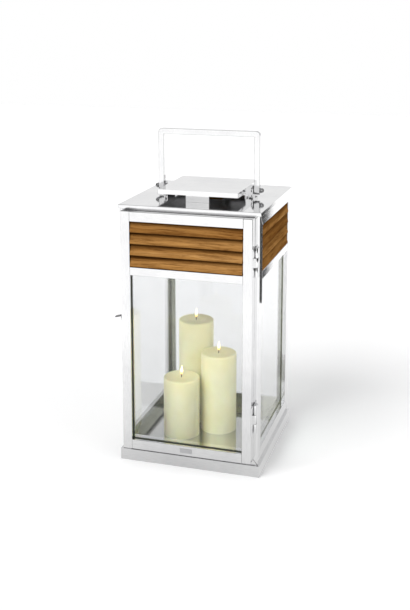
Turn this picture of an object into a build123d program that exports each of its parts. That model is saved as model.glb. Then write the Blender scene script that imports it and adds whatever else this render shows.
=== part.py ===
from build123d import *
import math
import os

# Candle lantern, millimetres. Origin at the centre of the plinth's underside, +Z up.
# The door is on the front (-Y). Its hinges are on the +X side and its latch on the -X side.

# plinth, a closed box of sheet, a little wider than the body
plinth_ledge = 4.0
plinth_height = 24.0
plinth_sheet = 2.0
plinth_edge_radius = 1.0

# body, four mitred frames of flat bar around a square
body_width = 292.0
body_height = 524.0
bar_thickness = 10.0
stile_width = 24.0
bottom_rail_height = 30.0
top_rail_height = 28.0
mid_rail_height = 17.0
wood_height = 94.0
glass_thickness = 3.0
glass_lap = 9.0
glass_clearance = 0.5
glass_corner_gap = 1.5

# teak slats, thicker along the lower edge, which just passes the face of the frame
slat_count = 4
slat_gap = 1.6
slat_back_depth = 11.0
slat_top_recess = 6.0
slat_bottom_proud = 2.0
slat_end_gap = 1.0
slat_edge_radius = 1.8

# roof, a shallow tray turned upside down over the body
roof_wall = 2.8
roof_sheet = 1.5
roof_fascia = 8.0
roof_clearance = 0.2
vent_hole_width = 80.0

# vent lid on four tabs
lid_width = 172.0
lid_rim = 10.5
lid_sheet = 1.5
lid_gap = 13.0
lid_tab_width = 50.0

# handle, a square bar on two lugs, with its legs beside the lid
handle_bar = 12.0
handle_side_gap = 13.0
handle_height = 124.0
handle_corner_radius = 9.0
handle_tail_radius = 5.0
handle_tail = 9.0
pivot_height = 16.0
lug_width = 20.0
lug_sheet = 3.0
lug_foot = 12.0
lug_gap = 0.6
bolt_radius = 3.0
bolt_head_radius = 5.0
bolt_head_height = 3.0
nut_across = 10.0
nut_height = 4.0
nut_dome_radius = 4.6
washer_gap = 0.3
running_gap = 0.05

# door, a deep frame that stands in front of the body
door_side_margin = 9.5
door_thickness = 21.0
door_back_gap = 1.0
door_foot_gap = 11.5
door_head_gap = 1.5
door_stile_width = 19.0
door_bottom_rail = 20.0
door_mid_rail = 17.0
door_glass_setback = 10.0
plate_width = 26.0
plate_height = 9.0
plate_thickness = 0.8

# door hinges, in the corner between the door's edge and the body
hinge_length = 60.0
hinge_knuckle_radius = 3.0
hinge_pin_radius = 1.5
hinge_leaf = 1.5
hinge_end_distance = 60.0
hinge_knuckle_gap = 0.4
hinge_axis_offset = 4.0
hinge_axis_standoff = 5.0

# latch, a lever on the door's free edge that rests on a keeper on the body
latch_height = 290.0
lever_sheet = 2.0
lever_hub_radius = 5.0
lever_nose_height = 2.6
lever_tab_length = 15.0
lever_tab_width = 9.0
lever_tab_droop = 14.0
latch_screw_radius = 2.0
latch_screw_head_radius = 3.6
latch_screw_depth = 8.0
keeper_radius = 1.5
keeper_length = 5.0
keeper_clearance = 0.7
latch_gap = 0.3

# three pillar candles: two stand beside the middle one, each in its own direction
candle_radius = 39.0
candle_edge_radius = 4.0
candle_pool_radius = 12.0
candle_pool_depth = 2.5
candle_pool_slope = 12.0
wick_radius = 0.9
wick_length = 9.0
wick_depth = 6.0
wick_clearance = 0.05
middle_candle_x = 20.0
middle_candle_y = 9.0
middle_candle_height = 175.0
short_candle_gap = 7.4
short_candle_direction = 215.0
short_candle_height = 130.0
tall_candle_gap = 0.5
tall_candle_direction = 146.0
tall_candle_height = 231.0

# heights and planes that several pieces share
plinth_width = body_width + 2 * plinth_ledge
floor_z = plinth_height
body_top_z = floor_z + body_height
body_half = body_width / 2
bar_inner = body_half - bar_thickness
stile_inner = body_half - stile_width
wood_top_z = body_top_z - top_rail_height
wood_bottom_z = wood_top_z - wood_height
side_glass_top_z = wood_bottom_z - mid_rail_height
side_glass_bottom_z = floor_z + bottom_rail_height
roof_width = body_width + 2 * (roof_clearance + roof_wall)
roof_top_z = body_top_z + roof_sheet
roof_fascia_z = roof_top_z - roof_fascia
lid_rim_z = roof_top_z + lid_gap
lid_top_z = lid_rim_z + lid_rim
pivot_z = roof_top_z + pivot_height
handle_span = lid_width + 2 * (handle_side_gap + handle_bar)
leg_centre_x = handle_span / 2 - handle_bar / 2
door_width = body_width - 2 * door_side_margin
door_back_y = -(body_half + door_back_gap)
door_front_y = door_back_y - door_thickness
door_bottom_z = floor_z + door_foot_gap
door_top_z = roof_fascia_z - door_head_gap
door_glass_bottom_z = door_bottom_z + door_bottom_rail
door_glass_top_z = wood_bottom_z - door_mid_rail
door_stile_inner = door_width / 2 - door_stile_width

UPWARD = (Align.CENTER, Align.CENTER, Align.MIN)

os.makedirs("parts", exist_ok=True)


def save(piece, name):
    piece.part.label = name
    export_step(piece.part, f"parts/{name}.step")


def make_box(name, x_range, y_range, z_range):
    """A plain rectangular piece between three pairs of planes."""
    with BuildPart() as piece:
        with Locations((sum(x_range) / 2, sum(y_range) / 2, sum(z_range) / 2)):
            Box(x_range[1] - x_range[0], y_range[1] - y_range[0], z_range[1] - z_range[0])
    save(piece, name)


# plinth: the flat top is the lantern's floor
with BuildPart() as plinth:
    Box(plinth_width, plinth_width, plinth_height, align=UPWARD)
    fillet(plinth.edges().filter_by(Axis.Z), plinth_edge_radius)
    plinth_inside = plinth_width - 2 * plinth_sheet
    with Locations((0, 0, plinth_height / 2)):
        Box(
            plinth_inside,
            plinth_inside,
            plinth_height - 2 * plinth_sheet,
            mode=Mode.SUBTRACT,
        )
save(plinth, "plinth")


# body frames: each rail has mitred ends, and the posts take the rest of the corners
def rail_outline(z_outer, z_inner):
    """Front view of a mitred rail, wide at the outer edge and narrow at the inner one."""
    with BuildLine() as line:
        Polyline(
            (-body_half, z_outer),
            (body_half, z_outer),
            (stile_inner, z_inner),
            (-stile_inner, z_inner),
            close=True,
        )
    return line


def mitred_rail(name, turn, z_outer, z_inner):
    """A top or bottom rail of the front frame, turned about Z to its own side."""
    with BuildPart() as rail:
        with BuildSketch(Plane.XZ.offset(bar_inner)):
            add(rail_outline(z_outer, z_inner))
            make_face()
        extrude(amount=bar_thickness)
        with BuildSketch():
            with BuildLine():
                Polyline(
                    (-body_half, -body_half),
                    (body_half, -body_half),
                    (bar_inner, -bar_inner),
                    (-bar_inner, -bar_inner),
                    close=True,
                )
            make_face()
        extrude(amount=body_top_z, mode=Mode.INTERSECT)
    with BuildPart() as turned:
        add(rail.part.rotate(Axis.Z, turn))
    save(turned, name)


sides = {"front": 0, "right": 90, "back": 180, "left": 270}
for side, turn in sides.items():
    mitred_rail(f"bottom_rail_{side}", turn, floor_z, side_glass_bottom_z)
    mitred_rail(f"top_rail_{side}", turn, body_top_z, wood_top_z)


def corner_post(name, turn):
    """An angle section whose ends are cut back along the rails' mitres."""
    with BuildPart() as post:
        with BuildSketch(Plane.XY.offset(floor_z)):
            with Locations((body_half, -body_half)):
                Rectangle(stile_width, bar_thickness, align=(Align.MAX, Align.MIN))
                Rectangle(bar_thickness, stile_width, align=(Align.MAX, Align.MIN))
        extrude(amount=body_height)
        for plane in (Plane.XZ.offset(-body_half), Plane.YZ.offset(-body_half)):
            with BuildSketch(plane):
                add(rail_outline(floor_z, side_glass_bottom_z))
                make_face()
                add(rail_outline(body_top_z, wood_top_z))
                make_face()
            extrude(amount=body_width, mode=Mode.SUBTRACT)
    with BuildPart() as turned:
        add(post.part.rotate(Axis.Z, turn))
    save(turned, name)


posts = {"front_right": 0, "back_right": 90, "back_left": 180, "front_left": 270}
for corner, turn in posts.items():
    corner_post(f"post_{corner}", turn)


def turned_box(name, turn, x_range, y_range, z_range):
    """A rectangular piece of the front side, turned about Z to its own side."""
    with BuildPart() as blank:
        with Locations((sum(x_range) / 2, sum(y_range) / 2, sum(z_range) / 2)):
            Box(x_range[1] - x_range[0], y_range[1] - y_range[0], z_range[1] - z_range[0])
    with BuildPart() as turned:
        add(blank.part.rotate(Axis.Z, turn))
    save(turned, name)


# middle rails and glass of the three fixed sides
fixed_sides = {side: turn for side, turn in sides.items() if side != "front"}
glass_face_y = -(bar_inner - glass_clearance)
glass_half = -glass_face_y - glass_thickness - glass_corner_gap
for side, turn in fixed_sides.items():
    turned_box(
        f"mid_rail_{side}",
        turn,
        (-stile_inner, stile_inner),
        (-body_half, -bar_inner),
        (side_glass_top_z, wood_bottom_z),
    )
    turned_box(
        f"glass_{side}",
        turn,
        (-glass_half, glass_half),
        (glass_face_y, glass_face_y + glass_thickness),
        (side_glass_bottom_z - glass_lap, side_glass_top_z + glass_lap),
    )


# teak slats
slat_pitch = wood_height / slat_count
slat_height = slat_pitch - slat_gap


def slat(name, turn, half_length, face_y, index):
    """One slat, counted from the bottom, on the side whose frame face is at face_y."""
    z_low = wood_bottom_z + slat_gap / 2 + index * slat_pitch
    with BuildPart() as board:
        with BuildSketch(Plane.YZ.offset(-half_length)):
            with BuildLine():
                Polyline(
                    (face_y + slat_back_depth, z_low),
                    (face_y - slat_bottom_proud, z_low),
                    (face_y + slat_top_recess, z_low + slat_height),
                    (face_y + slat_back_depth, z_low + slat_height),
                    close=True,
                )
            make_face()
        extrude(amount=2 * half_length)
        lower_front_edge = board.edges().filter_by(Axis.X).group_by(Axis.Y)[0]
        fillet(lower_front_edge, slat_edge_radius)
    with BuildPart() as turned:
        add(board.part.rotate(Axis.Z, turn))
    save(turned, name)


for index in range(slat_count):
    for side, turn in fixed_sides.items():
        slat(f"slat_{side}_{index + 1}", turn, stile_inner - slat_end_gap, -body_half, index)
    slat(f"slat_door_{index + 1}", 0, door_stile_inner - slat_end_gap, door_front_y, index)

# roof with a square vent hole under the lid
with BuildPart() as roof:
    with Locations((0, 0, roof_fascia_z)):
        Box(roof_width, roof_width, roof_fascia, align=UPWARD)
    with Locations((0, 0, roof_fascia_z)):
        Box(
            body_width + 2 * roof_clearance,
            body_width + 2 * roof_clearance,
            roof_fascia - roof_sheet,
            align=UPWARD,
            mode=Mode.SUBTRACT,
        )
    with Locations((0, 0, roof_fascia_z)):
        Box(
            vent_hole_width,
            vent_hole_width,
            roof_fascia,
            align=UPWARD,
            mode=Mode.SUBTRACT,
        )
save(roof, "roof")

# vent lid: a shallow tray turned upside down, with one tab down to the roof on each side
lid_half = lid_width / 2
with BuildPart() as vent_lid:
    with Locations((0, 0, lid_rim_z)):
        Box(lid_width, lid_width, lid_rim, align=UPWARD)
        Box(
            lid_width - 2 * lid_sheet,
            lid_width - 2 * lid_sheet,
            lid_rim - lid_sheet,
            align=UPWARD,
            mode=Mode.SUBTRACT,
        )
    with Locations((0, 0, roof_top_z)):
        with PolarLocations(lid_half - lid_sheet / 2, 4):
            Box(
                lid_sheet,
                lid_tab_width,
                lid_gap,
                align=UPWARD,
            )
save(vent_lid, "vent_lid")

# handle lugs: an upright on the inner side of each leg and a foot on the roof
lug_outer_x = leg_centre_x - handle_bar / 2 - lug_gap
lug_height = pivot_height + lug_width / 2
lug_hole_radius = bolt_radius + running_gap
with BuildPart() as handle_lugs:
    for sign in (1, -1):
        with BuildSketch(Plane.YZ.offset(sign * (lug_outer_x - lug_sheet / 2))):
            with Locations((0, roof_top_z + pivot_height / 2)):
                Rectangle(lug_width, pivot_height)
            with Locations((0, pivot_z)):
                Circle(lug_width / 2)
                Circle(lug_hole_radius, mode=Mode.SUBTRACT)
        extrude(amount=lug_sheet / 2, both=True)
        with Locations((sign * (lug_outer_x - lug_foot / 2), 0, roof_top_z + lug_sheet / 2)):
            Box(lug_foot, lug_width, lug_sheet)
save(handle_lugs, "handle_lugs")

# handle: one bent bar, square in section, with its two ends rounded about the pivot
handle_top_z = pivot_z + handle_height
with BuildPart() as handle:
    with BuildSketch(Plane.XZ.offset(-handle_bar / 2)):
        with Locations((0, (handle_top_z + pivot_z - handle_tail) / 2)):
            Rectangle(handle_span, handle_top_z - pivot_z + handle_tail)
        inner_height = handle_top_z - handle_bar - pivot_z + handle_tail
        with Locations((0, pivot_z - handle_tail + inner_height / 2)):
            Rectangle(handle_span - 2 * handle_bar, inner_height, mode=Mode.SUBTRACT)
    extrude(amount=handle_bar)
    fillet(handle.edges().filter_by(Axis.Y).group_by(Axis.Z)[-1], handle_corner_radius)
    fillet(handle.edges().filter_by(Axis.X).group_by(Axis.Z)[0], handle_tail_radius)
    with Locations((0, 0, pivot_z)):
        Cylinder(bolt_radius + running_gap, handle_span, rotation=(0, 90, 0), mode=Mode.SUBTRACT)
save(handle, "handle")

# pivot bolts, with the head on the inner side of each lug
bolt_head_x = lug_outer_x - lug_sheet
nut_seat_x = handle_span / 2 + washer_gap
bolt_tip_x = nut_seat_x + nut_height
with BuildPart() as pivot_bolts:
    for sign in (1, -1):
        with BuildSketch(Plane.YZ.offset(sign * bolt_head_x)):
            with Locations((0, pivot_z)):
                Circle(bolt_radius)
        extrude(amount=sign * (bolt_tip_x - bolt_head_x))
        with BuildSketch(Plane.YZ.offset(sign * bolt_head_x)):
            with Locations((0, pivot_z)):
                Circle(bolt_head_radius)
        extrude(amount=-sign * bolt_head_height)
save(pivot_bolts, "pivot_bolts")

# dome nuts outside the legs
with BuildPart() as dome_nuts:
    for sign in (1, -1):
        with Locations((sign * bolt_tip_x, 0, pivot_z)):
            Sphere(nut_dome_radius)
        with Locations((sign * (bolt_tip_x - nut_dome_radius), 0, pivot_z)):
            Box(2 * nut_dome_radius, nut_across, nut_across, mode=Mode.SUBTRACT)
    for sign in (1, -1):
        with BuildSketch(Plane.YZ.offset(sign * nut_seat_x)):
            with Locations((0, pivot_z)):
                RegularPolygon(nut_across / 2, 6, major_radius=False)
                Circle(bolt_radius + running_gap, mode=Mode.SUBTRACT)
        extrude(amount=sign * nut_height)
save(dome_nuts, "dome_nuts")


# door frame: two stiles at full height and three rails between them
door_half = door_width / 2
door_y = (door_front_y, door_back_y)
door_rail_x = (-door_stile_inner, door_stile_inner)
make_box("door_rail_top", door_rail_x, door_y, (wood_top_z, door_top_z))
make_box("door_rail_middle", door_rail_x, door_y, (door_glass_top_z, wood_bottom_z))
make_box("door_rail_bottom", door_rail_x, door_y, (door_bottom_z, door_glass_bottom_z))
make_box("door_stile_right", (door_stile_inner, door_half), door_y, (door_bottom_z, door_top_z))
glass_y = door_front_y + door_glass_setback
make_box(
    "door_glass",
    door_rail_x,
    (glass_y, glass_y + glass_thickness),
    (door_glass_bottom_z, door_glass_top_z),
)

# blank plate on the door's bottom rail
plate_z = (door_bottom_z + door_glass_bottom_z) / 2
make_box(
    "blank_plate",
    (-plate_width / 2, plate_width / 2),
    (door_front_y - plate_thickness, door_front_y),
    (plate_z - plate_height / 2, plate_z + plate_height / 2),
)

# door hinges: a door leaf with the middle knuckle, a body leaf with the outer two, and a pin
hinge_heights = (
    door_bottom_z + hinge_end_distance + hinge_length / 2,
    door_top_z - hinge_end_distance - hinge_length / 2,
)
knuckle_length = hinge_length / 3
middle_knuckle = knuckle_length - 2 * hinge_knuckle_gap
knuckle_bore = hinge_pin_radius + running_gap
hinge_axis_x = door_half + hinge_axis_offset
hinge_axis_y = -(body_half + hinge_axis_standoff)

with BuildPart() as door_hinge_leaves:
    for height in hinge_heights:
        with Locations((door_half, door_front_y, height)):
            Box(
                hinge_leaf,
                hinge_axis_y - hinge_knuckle_radius - hinge_knuckle_gap - door_front_y,
                hinge_length,
                align=(Align.MIN, Align.MIN, Align.CENTER),
            )
        with Locations((door_half, hinge_axis_y, height)):
            Box(
                hinge_axis_offset,
                hinge_knuckle_radius + hinge_leaf,
                middle_knuckle,
                align=(Align.MIN, Align.MAX, Align.CENTER),
            )
        with Locations((hinge_axis_x, hinge_axis_y, height)):
            Cylinder(hinge_knuckle_radius, middle_knuckle)
            Cylinder(knuckle_bore, hinge_length, mode=Mode.SUBTRACT)
save(door_hinge_leaves, "door_hinge_leaves")

with BuildPart() as body_hinge_leaves:
    for height in hinge_heights:
        with Locations((body_half, -body_half, height)):
            Box(
                body_half - hinge_axis_x + hinge_knuckle_radius,
                hinge_leaf,
                hinge_length,
                align=(Align.MAX, Align.MAX, Align.CENTER),
            )
        with Locations((hinge_axis_x, -body_half, height)):
            Box(
                2 * hinge_knuckle_radius,
                hinge_axis_standoff,
                hinge_length,
                align=(Align.CENTER, Align.MAX, Align.CENTER),
            )
        with Locations((hinge_axis_x, hinge_axis_y, height)):
            Cylinder(hinge_knuckle_radius, hinge_length)
        with Locations((hinge_axis_x, -body_half - hinge_leaf, height)):
            Box(
                2 * hinge_knuckle_radius,
                2 * hinge_axis_standoff,
                knuckle_length,
                align=(Align.CENTER, Align.MAX, Align.CENTER),
                mode=Mode.SUBTRACT,
            )
        with Locations((hinge_axis_x, hinge_axis_y, height)):
            Cylinder(hinge_pin_radius, hinge_length, mode=Mode.SUBTRACT)
save(body_hinge_leaves, "body_hinge_leaves")

with BuildPart() as hinge_pins:
    for height in hinge_heights:
        with Locations((hinge_axis_x, hinge_axis_y, height)):
            Cylinder(hinge_pin_radius, hinge_length)
save(hinge_pins, "hinge_pins")

# latch lever: a hub and nose beside the door's free edge, and a thumb tab bent outwards
latch_z = floor_z + latch_height
latch_y = (door_front_y + door_back_y) / 2
lever_inner_x = -(door_half + latch_gap)
lever_outer_x = lever_inner_x - lever_sheet
with BuildPart() as latch_lever:
    with BuildSketch(Plane.YZ.offset(lever_outer_x)):
        with Locations((latch_y, latch_z)):
            Circle(lever_hub_radius)
            Rectangle(
                -body_half - 2 * latch_gap - latch_y,
                2 * lever_nose_height,
                align=(Align.MIN, Align.CENTER),
            )
            Rectangle(
                lever_tab_width,
                lever_hub_radius + lever_sheet,
                align=(Align.CENTER, Align.MIN),
            )
            Circle(latch_screw_radius + running_gap, mode=Mode.SUBTRACT)
    extrude(amount=lever_sheet)
    tab_root = Plane(
        origin=(lever_outer_x, latch_y, latch_z + lever_hub_radius + lever_sheet / 2),
        x_dir=(0, 1, 0),
        z_dir=(-1, 0, -math.tan(math.radians(lever_tab_droop))),
    )
    with BuildSketch(tab_root):
        Rectangle(lever_tab_width, lever_sheet)
    extrude(amount=lever_tab_length)
save(latch_lever, "latch_lever")

# latch screw, into a hole in the door's free stile
with BuildPart() as latch_screw:
    with BuildSketch(Plane.YZ.offset(-(door_half - latch_screw_depth))):
        with Locations((latch_y, latch_z)):
            Circle(latch_screw_radius)
    extrude(amount=lever_outer_x - latch_gap + door_half - latch_screw_depth)
    with BuildSketch(Plane.YZ.offset(lever_outer_x - latch_gap)):
        with Locations((latch_y, latch_z)):
            Circle(latch_screw_head_radius)
    extrude(amount=-lever_sheet)
save(latch_screw, "latch_screw")

with BuildPart() as door_stile_left:
    with Locations((-door_half, door_back_y, door_bottom_z)):
        Box(
            door_stile_width,
            door_thickness,
            door_top_z - door_bottom_z,
            align=(Align.MIN, Align.MAX, Align.MIN),
        )
    with BuildSketch(Plane.YZ.offset(-door_half)):
        with Locations((latch_y, latch_z)):
            Circle(latch_screw_radius)
    extrude(amount=latch_screw_depth, mode=Mode.SUBTRACT)
save(door_stile_left, "door_stile_left")

# keeper stud on the body, just under the lever's nose
keeper_x = -(door_half + latch_gap + keeper_radius + keeper_clearance)
keeper_z = latch_z - lever_nose_height - latch_gap - keeper_radius
with BuildPart() as keeper_stud:
    with BuildSketch(Plane.XZ.offset(body_half)):
        with Locations((keeper_x, keeper_z)):
            Circle(keeper_radius)
    extrude(amount=keeper_length)
save(keeper_stud, "keeper_stud")

def beside_middle(gap, direction):
    """Centre of a candle that stands a gap away from the middle one."""
    distance = 2 * candle_radius + gap
    angle = math.radians(direction)
    return (
        middle_candle_x + distance * math.cos(angle),
        middle_candle_y + distance * math.sin(angle),
    )


# pillar candles, each with a shallow pool and a wick in a hole
candles = {
    "candle_short": (*beside_middle(short_candle_gap, short_candle_direction), short_candle_height),
    "candle_middle": (middle_candle_x, middle_candle_y, middle_candle_height),
    "candle_tall": (*beside_middle(tall_candle_gap, tall_candle_direction), tall_candle_height),
}
for name, (x, y, height) in candles.items():
    with BuildPart() as candle:
        with Locations((x, y, floor_z)):
            Cylinder(candle_radius, height, align=UPWARD)
        fillet(candle.edges().group_by(Axis.Z)[-1], candle_edge_radius)
        with Locations((x, y, floor_z + height)):
            Cone(
                candle_pool_radius,
                candle_pool_radius + candle_pool_slope,
                candle_pool_depth,
                align=(Align.CENTER, Align.CENTER, Align.MAX),
                mode=Mode.SUBTRACT,
            )
        pool_z = floor_z + height - candle_pool_depth
        with Locations((x, y, pool_z)):
            Cylinder(
                wick_radius + wick_clearance,
                wick_depth,
                align=(Align.CENTER, Align.CENTER, Align.MAX),
                mode=Mode.SUBTRACT,
            )
    save(candle, name)
    with BuildPart() as wick:
        with Locations((x, y, pool_z - wick_depth)):
            Cylinder(wick_radius, wick_depth + wick_length, align=UPWARD)
    save(wick, name.replace("candle", "wick"))
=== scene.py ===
import math

import bmesh
import bpy
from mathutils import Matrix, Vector


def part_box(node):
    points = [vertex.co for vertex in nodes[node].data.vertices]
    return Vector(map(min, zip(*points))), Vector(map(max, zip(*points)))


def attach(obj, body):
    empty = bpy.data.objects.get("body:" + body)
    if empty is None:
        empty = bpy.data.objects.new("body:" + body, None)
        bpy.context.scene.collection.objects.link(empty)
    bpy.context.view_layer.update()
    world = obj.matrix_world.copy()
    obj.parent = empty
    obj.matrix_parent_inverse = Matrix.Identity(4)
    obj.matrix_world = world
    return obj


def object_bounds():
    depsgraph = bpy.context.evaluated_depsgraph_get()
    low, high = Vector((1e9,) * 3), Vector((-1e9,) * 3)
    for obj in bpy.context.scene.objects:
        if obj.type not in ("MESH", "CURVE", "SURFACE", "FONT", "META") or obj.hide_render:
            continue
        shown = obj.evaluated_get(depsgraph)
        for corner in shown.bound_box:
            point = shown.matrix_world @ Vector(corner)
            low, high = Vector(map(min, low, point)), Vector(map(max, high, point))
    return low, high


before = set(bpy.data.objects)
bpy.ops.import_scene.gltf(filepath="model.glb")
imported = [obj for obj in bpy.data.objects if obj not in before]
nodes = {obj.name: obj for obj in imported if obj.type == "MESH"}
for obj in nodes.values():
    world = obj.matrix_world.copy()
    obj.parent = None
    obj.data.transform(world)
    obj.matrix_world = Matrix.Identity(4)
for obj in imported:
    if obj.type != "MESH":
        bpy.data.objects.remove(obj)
cad_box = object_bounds()
scene = bpy.context.scene

# ---- small helpers ----------------------------------------------------------


def new_material(name):
    """A material with an empty node tree, its output and a Principled shader."""
    material = bpy.data.materials.new(name)
    material.use_nodes = True
    tree = material.node_tree
    tree.nodes.clear()
    output = tree.nodes.new("ShaderNodeOutputMaterial")
    shader = tree.nodes.new("ShaderNodeBsdfPrincipled")
    tree.links.new(shader.outputs[0], output.inputs[0])
    return material, tree, shader, output


def coordinates(tree, scale=(1, 1, 1), rotation=(0, 0, 0)):
    """Object coordinates in metres, scaled."""
    source = tree.nodes.new("ShaderNodeTexCoord")
    mapping = tree.nodes.new("ShaderNodeMapping")
    mapping.inputs["Scale"].default_value = scale
    mapping.inputs["Rotation"].default_value = rotation
    tree.links.new(source.outputs["Object"], mapping.inputs["Vector"])
    return mapping.outputs[0]


def noise(tree, vector, scale, detail=3.0, roughness=0.5, distortion=0.0):
    node = tree.nodes.new("ShaderNodeTexNoise")
    node.inputs["Scale"].default_value = scale
    node.inputs["Detail"].default_value = detail
    node.inputs["Roughness"].default_value = roughness
    node.inputs["Distortion"].default_value = distortion
    tree.links.new(vector, node.inputs["Vector"])
    return node.outputs["Fac"]


def ramp(tree, factor, stops):
    """A colour ramp from (position, colour) stops."""
    node = tree.nodes.new("ShaderNodeValToRGB")
    elements = node.color_ramp.elements
    while len(elements) < len(stops):
        elements.new(0.5)
    for element, (position, colour) in zip(elements, stops):
        element.position = position
        element.color = (*colour, 1)
    tree.links.new(factor, node.inputs[0])
    return node.outputs[0]


def ranged(tree, factor, low, high):
    """Maps a 0 to 1 value to the range low to high."""
    node = tree.nodes.new("ShaderNodeMapRange")
    node.inputs["To Min"].default_value = low
    node.inputs["To Max"].default_value = high
    tree.links.new(factor, node.inputs["Value"])
    return node.outputs[0]


def bump(tree, shader, height, strength, distance):
    node = tree.nodes.new("ShaderNodeBump")
    node.inputs["Strength"].default_value = strength
    node.inputs["Distance"].default_value = distance
    tree.links.new(height, node.inputs["Height"])
    tree.links.new(node.outputs[0], shader.inputs["Normal"])


def axes(tree, output="Object"):
    """The X, Y and Z sockets of a coordinate or a normal."""
    source = tree.nodes.new("ShaderNodeTexCoord")
    split = tree.nodes.new("ShaderNodeSeparateXYZ")
    tree.links.new(source.outputs[output], split.inputs[0])
    return split.outputs


def height_between(tree, low_z, high_z, interpolation="LINEAR"):
    """0 at and below low_z, rising to 1 at high_z."""
    height = tree.nodes.new("ShaderNodeMapRange")
    height.interpolation_type = interpolation
    height.inputs["From Min"].default_value = low_z
    height.inputs["From Max"].default_value = high_z
    tree.links.new(axes(tree)[2], height.inputs[0])
    return height.outputs[0]


def calculate(tree, operation, first, second):
    """One sum on a socket and a second socket or number."""
    node = tree.nodes.new("ShaderNodeMath")
    node.operation = operation
    tree.links.new(first, node.inputs[0])
    if isinstance(second, float):
        node.inputs[1].default_value = second
    else:
        tree.links.new(second, node.inputs[1])
    return node.outputs[0]


def mix_colours(tree, factor, first, second, mode="MIX"):
    node = tree.nodes.new("ShaderNodeMix")
    node.data_type = "RGBA"
    node.blend_type = mode
    if isinstance(factor, float):
        node.inputs[0].default_value = factor
    else:
        tree.links.new(factor, node.inputs[0])
    tree.links.new(first, node.inputs[6])
    tree.links.new(second, node.inputs[7])
    return node.outputs[2]


# ---- materials --------------------------------------------------------------

bar_thickness = 0.010
bevel_reach = 0.0012
inner_half = -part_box("bottom_rail_front")[0][1] - bar_thickness + bevel_reach
roof_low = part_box("roof")[0][2]
straight_down = -0.9
unpolished = 0.35


def inner_side(tree):
    """1 on surfaces inside the frame of bars and below the roof, and 0 outside."""
    x, y, z = axes(tree)
    across, along = (
        calculate(tree, "LESS_THAN", calculate(tree, "ABSOLUTE", side, 0.0), inner_half)
        for side in (x, y)
    )
    low = calculate(tree, "LESS_THAN", z, roof_low)
    both = calculate(tree, "MULTIPLY", across, along)
    return calculate(tree, "MULTIPLY", both, low)


def under_side(tree):
    """1 on surfaces that face straight down, and 0 elsewhere."""
    return calculate(tree, "LESS_THAN", axes(tree, "Normal")[2], straight_down)


def polished_steel(name, grain, shade_inside=1.0, dark=0.78, light=0.88):
    """Mirror-polished steel with faint polishing lines along one direction.

    Inside the lantern it is darkened to olive grey as painted shade, and its undersides are painted dark
    as shade and left unpolished.
    """
    material, tree, shader, _ = new_material(name)
    shader.inputs["Metallic"].default_value = 1.0
    wide = coordinates(tree)
    fine = coordinates(tree, grain)
    cloud = noise(tree, wide, 9.0, 4.0)
    lines = noise(tree, fine, 60.0, 4.0, 0.6)
    tone = ramp(tree, cloud, [(0.3, (dark, dark, dark + 0.01)), (0.7, (light, light, light))])
    line_tone = ramp(tree, lines, [(0.35, (0.93, 0.93, 0.93)), (0.65, (1.0, 1.0, 1.0))])
    colour = mix_colours(tree, 1.0, tone, line_tone, "MULTIPLY")
    # painted shade: inside the frame of bars and below the roof the steel is darkened to olive grey
    painted_inside_shade = ramp(tree, cloud, [(0.3, (0.30, 0.31, 0.23)), (0.7, (0.42, 0.43, 0.34))])
    inside_shade_weight = ranged(tree, inner_side(tree), 0.0, shade_inside)
    colour = mix_colours(tree, inside_shade_weight, colour, painted_inside_shade)
    # painted shade: surfaces facing straight down are painted near black, besides being rougher
    below = under_side(tree)
    painted_underside_shade = ramp(tree, cloud, [(0.3, (0.075, 0.075, 0.08)), (0.7, (0.12, 0.12, 0.125))])
    colour = mix_colours(tree, below, colour, painted_underside_shade)
    tree.links.new(colour, shader.inputs["Base Color"])
    polish = ranged(tree, lines, 0.04, 0.10)
    matt = calculate(tree, "MULTIPLY", below, unpolished)
    tree.links.new(calculate(tree, "ADD", matt, polish), shader.inputs["Roughness"])
    bump(tree, shader, lines, 0.05, 0.0002)
    return material


def satin_steel(name):
    """Brushed plate, with lines along X."""
    material, tree, shader, _ = new_material(name)
    shader.inputs["Metallic"].default_value = 1.0
    lines = noise(tree, coordinates(tree, (20, 900, 900)), 1.0, 4.0, 0.6)
    colour = ramp(tree, lines, [(0.3, (0.50, 0.50, 0.51)), (0.7, (0.66, 0.66, 0.67))])
    tree.links.new(colour, shader.inputs["Base Color"])
    tree.links.new(ranged(tree, lines, 0.28, 0.42), shader.inputs["Roughness"])
    bump(tree, shader, lines, 0.2, 0.0002)
    return material


def dark_steel(name):
    """Blued steel for the small latch."""
    material, tree, shader, _ = new_material(name)
    shader.inputs["Metallic"].default_value = 1.0
    cloud = noise(tree, coordinates(tree), 180.0, 4.0)
    colour = ramp(tree, cloud, [(0.3, (0.07, 0.07, 0.075)), (0.7, (0.13, 0.13, 0.135))])
    tree.links.new(colour, shader.inputs["Base Color"])
    tree.links.new(ranged(tree, cloud, 0.2, 0.35), shader.inputs["Roughness"])
    bump(tree, shader, cloud, 0.1, 0.0001)
    return material


def rubber(name):
    """Dark glazing rubber."""
    material, tree, shader, _ = new_material(name)
    speck = noise(tree, coordinates(tree), 900.0, 3.0)
    colour = ramp(tree, speck, [(0.3, (0.030, 0.033, 0.024)), (0.7, (0.055, 0.060, 0.045))])
    tree.links.new(colour, shader.inputs["Base Color"])
    tree.links.new(ranged(tree, speck, 0.5, 0.7), shader.inputs["Roughness"])
    bump(tree, shader, speck, 0.2, 0.0002)
    return material


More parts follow.
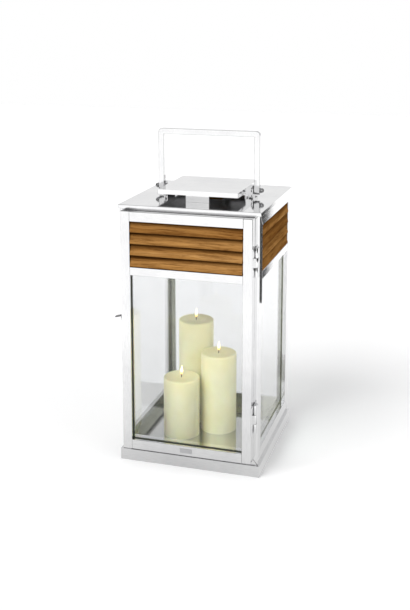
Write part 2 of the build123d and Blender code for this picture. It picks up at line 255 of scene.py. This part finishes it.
def teak(name, along, seed, low_z, high_z):
    """Oiled teak with its grain along one axis, 0 for X and 1 for Y.

    Painted shade darkens the recess at its top and the edge at its bottom, and painted light brightens
    the band between them.
    """
    material, tree, shader, _ = new_material(name)
    stretch = [26.0, 26.0, 26.0]
    stretch[along] = 1.6
    vector = coordinates(tree, stretch)
    shift = tree.nodes.new("ShaderNodeVectorMath")
    shift.operation = "ADD"
    shift.inputs[1].default_value = (seed * 3.1, seed * 7.7, seed * 5.3)
    tree.links.new(vector, shift.inputs[0])
    vector = shift.outputs[0]
    broad = noise(tree, vector, 1.1, 3.0, 0.55, 0.6)
    streaks = noise(tree, vector, 9.0, 6.0, 0.7, 0.5)
    fine_scale = [520.0, 520.0, 520.0]
    fine_scale[along] = 34.0
    pores = noise(tree, coordinates(tree, fine_scale), 1.0, 4.0, 0.65)
    base = ramp(
        tree,
        broad,
        [
            (0.30, (0.150, 0.064, 0.015)),
            (0.46, (0.215, 0.100, 0.027)),
            (0.58, (0.285, 0.145, 0.045)),
            (0.74, (0.370, 0.205, 0.075)),
        ],
    )
    dark_streaks = ramp(
        tree,
        streaks,
        [(0.36, (0.40, 0.32, 0.24)), (0.50, (0.88, 0.85, 0.80)), (0.66, (1.12, 1.10, 1.0))],
    )
    pore_tone = ramp(tree, pores, [(0.34, (0.42, 0.34, 0.26)), (0.48, (1.0, 1.0, 1.0))])
    colour = mix_colours(tree, 0.8, base, dark_streaks, "MULTIPLY")
    colour = mix_colours(tree, 0.55, colour, pore_tone, "MULTIPLY")
    # painted shade at the slat's top recess and bottom edge, and a painted lighter band between them
    painted_slat_shading = ramp(
        tree,
        height_between(tree, low_z, high_z),
        [
            (0.0, (0.25, 0.20, 0.14)),
            (0.09, (1.1, 1.1, 1.1)),
            (0.35, (1.22, 1.22, 1.22)),
            (0.68, (0.95, 0.92, 0.88)),
            (0.86, (0.50, 0.44, 0.36)),
            (1.0, (0.20, 0.15, 0.09)),
        ],
    )
    colour = mix_colours(tree, 1.0, colour, painted_slat_shading, "MULTIPLY")
    tree.links.new(colour, shader.inputs["Base Color"])
    tree.links.new(ranged(tree, streaks, 0.5, 0.7), shader.inputs["Roughness"])
    shader.inputs["Specular IOR Level"].default_value = 0.0
    bump(tree, shader, pores, 0.35, 0.0004)
    return material


def pane_glass(name):
    """Clear float glass, faintly green, with light passing straight through to what is inside."""
    material, tree, shader, output = new_material(name)
    smear = noise(tree, coordinates(tree), 14.0, 4.0)
    colour = ramp(tree, smear, [(0.3, (0.885, 0.892, 0.895)), (0.7, (0.905, 0.91, 0.915))])
    tree.links.new(colour, shader.inputs["Base Color"])
    tree.links.new(ranged(tree, smear, 0.0, 0.02), shader.inputs["Roughness"])
    shader.inputs["Transmission Weight"].default_value = 1.0
    shader.inputs["Specular IOR Level"].default_value = 0.25
    shader.inputs["IOR"].default_value = 1.45
    clear = tree.nodes.new("ShaderNodeBsdfTransparent")
    clear.inputs[0].default_value = (0.95, 0.97, 0.96, 1)
    path = tree.nodes.new("ShaderNodeLightPath")
    mix = tree.nodes.new("ShaderNodeMixShader")
    tree.links.new(path.outputs["Is Shadow Ray"], mix.inputs[0])
    tree.links.new(shader.outputs[0], mix.inputs[1])
    tree.links.new(clear.outputs[0], mix.inputs[2])
    tree.links.new(mix.outputs[0], output.inputs[0])
    return material


lit_depth = 0.06
wax_glow = 0.07


def candle_wax(name, top_z, glow):
    """Ivory wax, warmer and brighter near its top, where the flame lights it."""
    material, tree, shader, _ = new_material(name)
    cloud = noise(tree, coordinates(tree), 22.0, 5.0)
    speck = noise(tree, coordinates(tree), 160.0, 3.0)
    base = ramp(tree, cloud, [(0.3, (0.82, 0.79, 0.48)), (0.7, (0.90, 0.88, 0.61))])
    height = height_between(tree, top_z - lit_depth, top_z, "SMOOTHSTEP")
    warm = ramp(tree, height, [(0.0, (1.0, 1.0, 1.0)), (1.0, (1.04, 1.02, 0.96))])
    colour = mix_colours(tree, 1.0, base, warm, "MULTIPLY")
    tree.links.new(colour, shader.inputs["Base Color"])
    lit = ramp(tree, height, [(0.0, (0.0, 0.0, 0.0)), (1.0, (1.0, 0.90, 0.55))])
    tree.links.new(lit, shader.inputs["Emission Color"])
    shader.inputs["Emission Strength"].default_value = glow
    tree.links.new(ranged(tree, speck, 0.34, 0.5), shader.inputs["Roughness"])
    shader.inputs["Subsurface Weight"].default_value = 0.35
    shader.inputs["Subsurface Radius"].default_value = (1.0, 0.7, 0.35)
    shader.inputs["Subsurface Scale"].default_value = 0.012
    shader.inputs["Coat Weight"].default_value = 0.1
    bump(tree, shader, speck, 0.08, 0.0004)
    return material


def burnt_wick(name):
    """Charred cotton with a diagonal twist."""
    material, tree, shader, _ = new_material(name)
    twist = tree.nodes.new("ShaderNodeTexWave")
    twist.inputs["Scale"].default_value = 500.0
    twist.inputs["Distortion"].default_value = 2.0
    twist.bands_direction = "DIAGONAL"
    tree.links.new(coordinates(tree), twist.inputs["Vector"])
    colour = ramp(tree, twist.outputs["Fac"], [(0.2, (0.012, 0.009, 0.007)), (0.8, (0.06, 0.04, 0.025))])
    tree.links.new(colour, shader.inputs["Base Color"])
    shader.inputs["Roughness"].default_value = 0.9
    bump(tree, shader, twist.outputs["Fac"], 0.5, 0.0003)
    return material


def flame_material(name, low_z, high_z):
    """Orange at the wick, palest in the middle and yellow at the tip."""
    material, tree, shader, _ = new_material(name)
    colour = ramp(
        tree,
        height_between(tree, low_z, high_z),
        [
            (0.0, (0.7, 0.28, 0.06)),
            (0.22, (1.0, 0.72, 0.25)),
            (0.5, (1.0, 0.93, 0.68)),
            (1.0, (1.0, 0.88, 0.6)),
        ],
    )
    tree.links.new(colour, shader.inputs["Emission Color"])
    tree.links.new(colour, shader.inputs["Base Color"])
    shader.inputs["Emission Strength"].default_value = 1.6
    shader.inputs["Roughness"].default_value = 0.6
    return material


def floor_material():
    """White studio paper that glows a little, so that it stays white far out."""
    material, tree, shader, _ = new_material("studio_paper")
    cloud = noise(tree, coordinates(tree), 3.0, 3.0)
    colour = ramp(tree, cloud, [(0.3, (0.93, 0.93, 0.93)), (0.7, (0.95, 0.95, 0.95))])
    tree.links.new(colour, shader.inputs["Base Color"])
    tree.links.new(colour, shader.inputs["Emission Color"])
    shader.inputs["Emission Strength"].default_value = 0.18
    shader.inputs["Roughness"].default_value = 0.9
    return material


def card_material(name, brightness):
    """An even grey that no light changes."""
    material, tree, shader, output = new_material(name)
    emission = tree.nodes.new("ShaderNodeEmission")
    emission.inputs[0].default_value = (brightness, brightness, brightness, 1)
    tree.links.new(emission.outputs[0], output.inputs[0])
    tree.nodes.remove(shader)
    return material


# ---- materials on the CAD nodes -------------------------------------------------

steel_x = polished_steel("polished_steel_x", (1.0, 14.0, 14.0))
steel_y = polished_steel("polished_steel_y", (14.0, 1.0, 14.0))
steel_z = polished_steel("polished_steel_z", (14.0, 14.0, 1.0))
# the plinth takes only a quarter of the painted olive shade inside the lantern
steel_plinth = polished_steel("polished_steel_plinth", (1.0, 14.0, 14.0), shade_inside=0.25)
plate = satin_steel("satin_plate")
blued = dark_steel("blued_steel")
glass = pane_glass("pane_glass")
wick = burnt_wick("burnt_wick")

for name, node in nodes.items():
    if name.startswith("slat"):
        seed = sum(map(ord, name)) % 17
        along = 0 if "door" in name or "back" in name else 1
        low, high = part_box(name)
        material = teak("teak_" + name, along, seed, low[2], high[2])
    elif "glass" in name:
        material = glass
    elif name.startswith("candle"):
        material = candle_wax("wax_" + name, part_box(name)[1][2], wax_glow)
    elif name.startswith("wick"):
        material = wick
    elif name == "blank_plate":
        material = plate
    elif name == "plinth":
        material = steel_plinth
    elif name == "latch_lever":
        material = blued
    elif "post" in name or "stile" in name or name == "handle":
        material = steel_z
    elif name.endswith(("left", "right")):
        material = steel_y
    else:
        material = steel_x
    node.data.materials.clear()
    node.data.materials.append(material)

# a small bevel on the hard edges of metal and glass, so that they catch the light
bevels = {
    "glass": 0.0003,
    "blank": 0.0002,
    "lugs": 0.0004,
    "leaves": 0.0003,
    "roof": 0.0007,
    "vent_lid": 0.0006,
    "handle": 0.0030,
    "door_stile": 0.0014,
    "door_rail": 0.0008,
}
plain_bevel = 0.0011
weld_distance = 0.00001
bevel_angle = math.radians(40)
no_bevel = (
    "slat",
    "candle",
    "wick",
    "dome_nuts",
    "hinge_pins",
    "pivot_bolts",
    "latch",
    "keeper",
)
for name, node in nodes.items():
    if name.startswith(no_bevel):
        continue
    width = next((w for key, w in bevels.items() if key in name), plain_bevel)
    weld = node.modifiers.new("weld", "WELD")
    weld.merge_threshold = weld_distance
    bevel = node.modifiers.new("edge", "BEVEL")
    bevel.width = width
    bevel.segments = 3
    bevel.limit_method = "ANGLE"
    bevel.angle_limit = bevel_angle
    bevel.harden_normals = True

# ---- flames ---------------------------------------------------------------------

flame_length = 0.022
flame_radius = 0.0031
flame_overlap = 0.003
flame_lean = 0.0012
flame_steps = 16
flame_sides = 20
same_point = 0.00005


def flame(name, wick_name):
    """A teardrop around the wick's tip, turned from a profile and leaning a little."""
    low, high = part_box(wick_name)
    centre = (Vector(low) + Vector(high)) / 2
    base = high[2] - flame_overlap
    mesh = bmesh.new()
    rings = []
    for i in range(flame_steps + 1):
        t = i / flame_steps
        swell = math.sin(math.pi * t ** 0.62) ** 1.1 if 0 < t < 1 else 0.0
        radius = flame_radius * swell
        lean = flame_lean * t * t
        ring = [
            mesh.verts.new(
                (
                    centre.x + lean + radius * math.cos(2 * math.pi * k / flame_sides),
                    centre.y + radius * math.sin(2 * math.pi * k / flame_sides),
                    base + flame_length * t,
                )
            )
            for k in range(flame_sides)
        ]
        rings.append(ring)
    for lower, upper in zip(rings, rings[1:]):
        for k in range(flame_sides):
            after = (k + 1) % flame_sides
            mesh.faces.new((lower[k], lower[after], upper[after], upper[k]))
    bmesh.ops.remove_doubles(mesh, verts=mesh.verts, dist=same_point)
    for face in mesh.faces:
        face.smooth = True
    data = bpy.data.meshes.new(name)
    mesh.to_mesh(data)
    mesh.free()
    piece = bpy.data.objects.new(name, data)
    scene.collection.objects.link(piece)
    data.materials.append(flame_material(name + "_glow", base, base + flame_length))
    piece.visible_shadow = False
    piece.visible_glossy = False
    return piece


for size in ("short", "middle", "tall"):
    piece = flame("flame_" + size, "wick_" + size)
    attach(piece, "candle_" + size)

# ---- glazing seal -----------------------------------------------------------------

seal_width = 0.0020
seal_depth = 0.0030


def glazing_seal(name, low, high, width, depth):
    """A strip of rubber all round the front of a pane that lies between two corners."""
    mesh = bmesh.new()
    outline = [(low[0], low[2]), (high[0], low[2]), (high[0], high[2]), (low[0], high[2])]
    middle = Vector(((low[0] + high[0]) / 2, 0, (low[2] + high[2]) / 2))
    rings = []
    section = (
        (0, 0),
        (0, depth),
        (0.6 * width, depth),
        (width, 0.3 * depth),
        (width, 0),
    )
    for inset, proud in section:
        ring = []
        for x, z in outline:
            step_x = math.copysign(inset, middle.x - x)
            step_z = math.copysign(inset, middle.z - z)
            ring.append(mesh.verts.new((x + step_x, low[1] - proud, z + step_z)))
        rings.append(ring)
    for first, second in zip(rings, rings[1:] + rings[:1]):
        for k in range(len(outline)):
            after = (k + 1) % len(outline)
            mesh.faces.new((first[k], first[after], second[after], second[k]))
    bmesh.ops.recalc_face_normals(mesh, faces=mesh.faces)
    data = bpy.data.meshes.new(name)
    mesh.to_mesh(data)
    mesh.free()
    piece = bpy.data.objects.new(name, data)
    scene.collection.objects.link(piece)
    data.materials.append(rubber(name + "_rubber"))
    return piece


seal = glazing_seal("door_glass_seal", *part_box("door_glass"), seal_width, seal_depth)
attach(seal, "door")

# ---- stage, light and camera --------------------------------------------------------

floor_size = 14
floor_gap = 0.0003
floor_z = cad_box[0][2] - floor_gap
bpy.ops.mesh.primitive_plane_add(size=floor_size, location=(0, 0, floor_z))
floor = bpy.context.object
floor.name = "floor"
floor.data.materials.append(floor_material())


def hide_from_all_but_mirrors(piece):
    """Leaves a stage piece visible to reflections only."""
    piece.visible_camera = False
    piece.visible_shadow = False
    piece.visible_diffuse = False
    piece.visible_transmission = False


def card(name, place, size, facing, brightness):
    """A flat card that is only there to be mirrored in the steel."""
    bpy.ops.mesh.primitive_plane_add(size=1, location=place)
    piece = bpy.context.object
    piece.name = name
    piece.scale = (*size, 1)
    piece.rotation_euler = Vector(facing).to_track_quat("Z", "Y").to_euler()
    piece.data.materials.append(card_material(name + "_tone", brightness))
    hide_from_all_but_mirrors(piece)


# black flags draw dark lines along the rounded edges of the steel
black = 0.012
dark_grey = 0.03
card("flag_left", (-2.0, -1.75, 1.2), (6.5, 2.4), (1, 0, 0), black)
card("flag_right", (2.0, -1.9, 1.2), (6.2, 2.4), (-1, 0, 0), black)
card("flag_behind", (0.90, 1.0, 0.17), (1.03, 0.34), (0, -1, 0), dark_grey)

tone_radius = 6.0
tone_sides = 96
tone_z = 0.0002
shade_start = 0.15
shade_end = 1.35
tone_strength = 1.25


def floor_tone():
    """The floor as the steel mirrors it, in shade near the lantern and bright further out."""
    bpy.ops.mesh.primitive_circle_add(
        vertices=tone_sides, radius=tone_radius, fill_type="NGON", location=(0, 0, tone_z)
    )
    piece = bpy.context.object
    piece.name = "floor_tone"
    material, tree, shader, output = new_material("floor_tone")
    length = tree.nodes.new("ShaderNodeVectorMath")
    length.operation = "LENGTH"
    tree.links.new(coordinates(tree), length.inputs[0])
    reach = tree.nodes.new("ShaderNodeMapRange")
    reach.inputs["From Min"].default_value = shade_start
    reach.inputs["From Max"].default_value = shade_end
    tree.links.new(length.outputs["Value"], reach.inputs["Value"])
    tone = ramp(
        tree,
        reach.outputs[0],
        [
            (0.0, (0.53, 0.53, 0.53)),
            (0.12, (0.66, 0.66, 0.66)),
            (0.35, (0.80, 0.80, 0.80)),
            (0.75, (1.0, 1.0, 1.0)),
        ],
    )
    emission = tree.nodes.new("ShaderNodeEmission")
    emission.inputs[1].default_value = tone_strength
    tree.links.new(tone, emission.inputs[0])
    tree.links.new(emission.outputs[0], output.inputs[0])
    tree.nodes.remove(shader)
    piece.data.materials.append(material)
    hide_from_all_but_mirrors(piece)


floor_tone()


def studio_world():
    """White behind the lantern, with a pale wall and a dim ceiling for the steel to mirror."""
    world = bpy.data.worlds.new("studio")
    scene.world = world
    world.use_nodes = True
    tree = world.node_tree
    background = tree.nodes["Background"]
    tone = ramp(
        tree,
        axes(tree, "Generated")[2],
        [
            (0.0, (0.90, 0.90, 0.90)),
            (0.34, (0.93, 0.93, 0.93)),
            (0.6, (0.30, 0.30, 0.31)),
            (1.0, (0.2, 0.2, 0.2)),
        ],
    )
    tree.links.new(tone, background.inputs["Color"])
    paper = tree.nodes.new("ShaderNodeBackground")
    paper.inputs["Color"].default_value = (1, 1, 1, 1)
    path = tree.nodes.new("ShaderNodeLightPath")
    mix = tree.nodes.new("ShaderNodeMixShader")
    tree.links.new(path.outputs["Is Camera Ray"], mix.inputs[0])
    tree.links.new(background.outputs[0], mix.inputs[1])
    tree.links.new(paper.outputs[0], mix.inputs[2])
    tree.links.new(mix.outputs[0], tree.nodes["World Output"].inputs[0])


studio_world()


def soft_sun(name, direction, strength, spread):
    """Even light from one side, which the steel doesn't mirror."""
    data = bpy.data.lights.new(name, "SUN")
    data.energy = strength
    data.angle = math.radians(spread)
    lamp = bpy.data.objects.new(name, data)
    lamp.rotation_euler = Vector(direction).to_track_quat("-Z", "Y").to_euler()
    lamp.visible_glossy = False
    scene.collection.objects.link(lamp)


soft_sun("key", (0.45, 0.75, -0.85), 1.8, 35)
soft_sun("front", (-0.1, 1, -0.3), 0.6, 60)
soft_sun("fill", (-0.9, 0.4, -0.6), 0.6, 50)

camera_data = bpy.data.cameras.new("camera")
camera = bpy.data.objects.new("camera", camera_data)
scene.collection.objects.link(camera)
scene.camera = camera
camera_azimuth = 0.2905
camera_elevation = 0.1766
camera_place = (0.5546, -1.8858, 0.9261)
focal_length = 55.59
upward_shift = -0.2
back = Vector(
    (
        math.sin(camera_azimuth) * math.cos(camera_elevation),
        -math.cos(camera_azimuth) * math.cos(camera_elevation),
        math.sin(camera_elevation),
    )
)
camera.location = camera_place
camera.rotation_mode = "QUATERNION"
camera.rotation_quaternion = (-back).to_track_quat("-Z", "Y")
camera_data.sensor_width = 36
camera_data.lens = focal_length
camera_data.shift_y = upward_shift
camera_data.clip_start = 0.05
camera_data.clip_end = 50

scene.view_settings.view_transform = "Standard"
scene.view_settings.look = "None"
